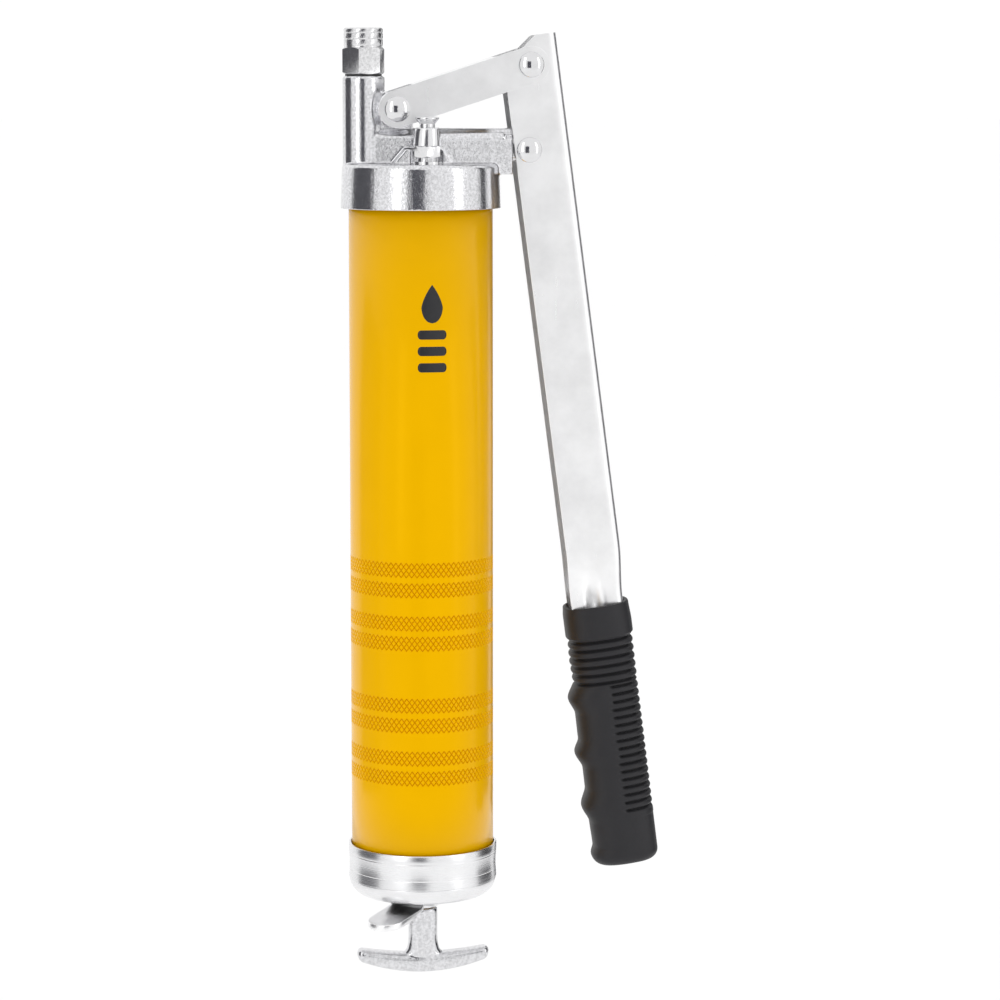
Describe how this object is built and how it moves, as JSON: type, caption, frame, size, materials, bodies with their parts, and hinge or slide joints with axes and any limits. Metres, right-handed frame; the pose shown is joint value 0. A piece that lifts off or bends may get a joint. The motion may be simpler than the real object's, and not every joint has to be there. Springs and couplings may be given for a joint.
{
  "type": "grease gun",
  "caption": "Lever-action grease gun with a knurled cartridge barrel, cast head, linked pump lever with rubber grip, follower rod with T-handle, threaded outlet and air vent.",
  "frame": {"origin": "on the barrel's axis, at the middle of its knurled grip, where a hand or a holder takes it", "axes": "+Z along the barrel to the head and the outlet, +X towards the lever, -Y the side with the air vent"},
  "size_m": [0.1278, 0.0632, 0.3796],
  "materials": {
    "yellow_paint": "gloss enamel over steel",
    "cast_zinc": "bright die casting, lightly speckled",
    "plated_steel": "turned and bright plated",
    "bright_steel": "pressed and bright plated, fine turned lines",
    "cast_bright": "plated casting, slightly pitted",
    "zinc_sheet": "zinc-plated sheet, satin bright",
    "hard_steel": "ground",
    "pin_steel": "plated, polished",
    "spring_steel": "drawn wire, oiled",
    "bronze": "sintered",
    "gasket": "matt",
    "black_rubber": "moulded, satin",
    "black_rubber_inner": "oiled"
  },
  "bodies": {
    "gun": {"barrel": "yellow_paint", "head_casting": "cast_zinc", "head_gasket": "gasket", "outlet_adapter": "plated_steel", "outlet_washer": "gasket", "check_spring": "spring_steel", "vent_valve_body": "plated_steel", "vent_washer": "plated_steel", "vent_spring": "spring_steel", "plunger_packing": "gasket", "gland_nut": "plated_steel", "end_cap": "bright_steel", "spring_seat": "plated_steel", "rod_bush": "bronze", "lock_spring": "spring_steel", "follower_spring": "spring_steel"},
    "plunger": {"plunger": "hard_steel", "plunger_pin": "pin_steel", "plunger_clip": "spring_steel"},
    "link": {"link": "zinc_sheet", "link_head_pin": "pin_steel", "link_lever_pin": "pin_steel", "link_clips": "spring_steel"},
    "lever": {"lever_channel": "zinc_sheet", "lever_grip": "black_rubber"},
    "rod": {"follower_rod": "hard_steel", "follower_cup": "black_rubber_inner", "follower_back_plate": "plated_steel", "follower_front_plate": "plated_steel", "rod_nut": "plated_steel", "t_handle": "cast_bright"},
    "lock_plate": {"lock_plate": "zinc_sheet"},
    "vent_stem": {"vent_stem": "plated_steel"},
    "check_ball": {"check_ball": "hard_steel"}
  },
  "joints": [
    {"name": "plunger_slide", "type": "slide", "parent": "gun", "child": "plunger", "axis": [1, 0, 0], "range_m": [0, 0.0265]},
    {"name": "lever_swing", "type": "hinge", "parent": "plunger", "child": "lever", "pos_m": [0.042, 0, 0.2042], "axis": [0, -1, 0], "range_deg": [0, 45]},
    {"name": "link_turn", "type": "hinge", "parent": "gun", "child": "link", "pos_m": [-0.01, 0, 0.2202], "axis": [0, 1, 0], "range_deg": [0, 9]},
    {"name": "rod_slide", "type": "slide", "parent": "gun", "child": "rod", "axis": [0, 0, -1], "range_m": [0, 0.2], "stiffness_N_per_m": 200, "springref_m": -0.12, "deforming": ["follower_spring"]},
    {"name": "lock_tilt", "type": "hinge", "parent": "gun", "child": "lock_plate", "pos_m": [0.00529, 0.00728, -0.0946], "axis": [-0.809, 0.5878, 0], "range_deg": [0, 6], "stiffness_Nm_per_rad": 0.5, "springref_deg": -5.73, "deforming": ["lock_spring"]},
    {"name": "vent_press", "type": "slide", "parent": "gun", "child": "vent_stem", "axis": [0, 0, -1], "range_m": [0, 0.0015], "stiffness_N_per_m": 800, "springref_m": -0.002, "deforming": ["vent_spring"]},
    {"name": "check_lift", "type": "slide", "parent": "gun", "child": "check_ball", "axis": [0, 0, 1], "range_m": [0, 0.0015], "stiffness_N_per_m": 300, "springref_m": -0.001, "deforming": ["check_spring"]}
  ],
  "couplings": [
    {"joint": "plunger_slide", "follows": "lever_swing", "m_per_rad": 0.0333},
    {"joint": "link_turn", "follows": "lever_swing", "ratio": 0.184}
  ]
}
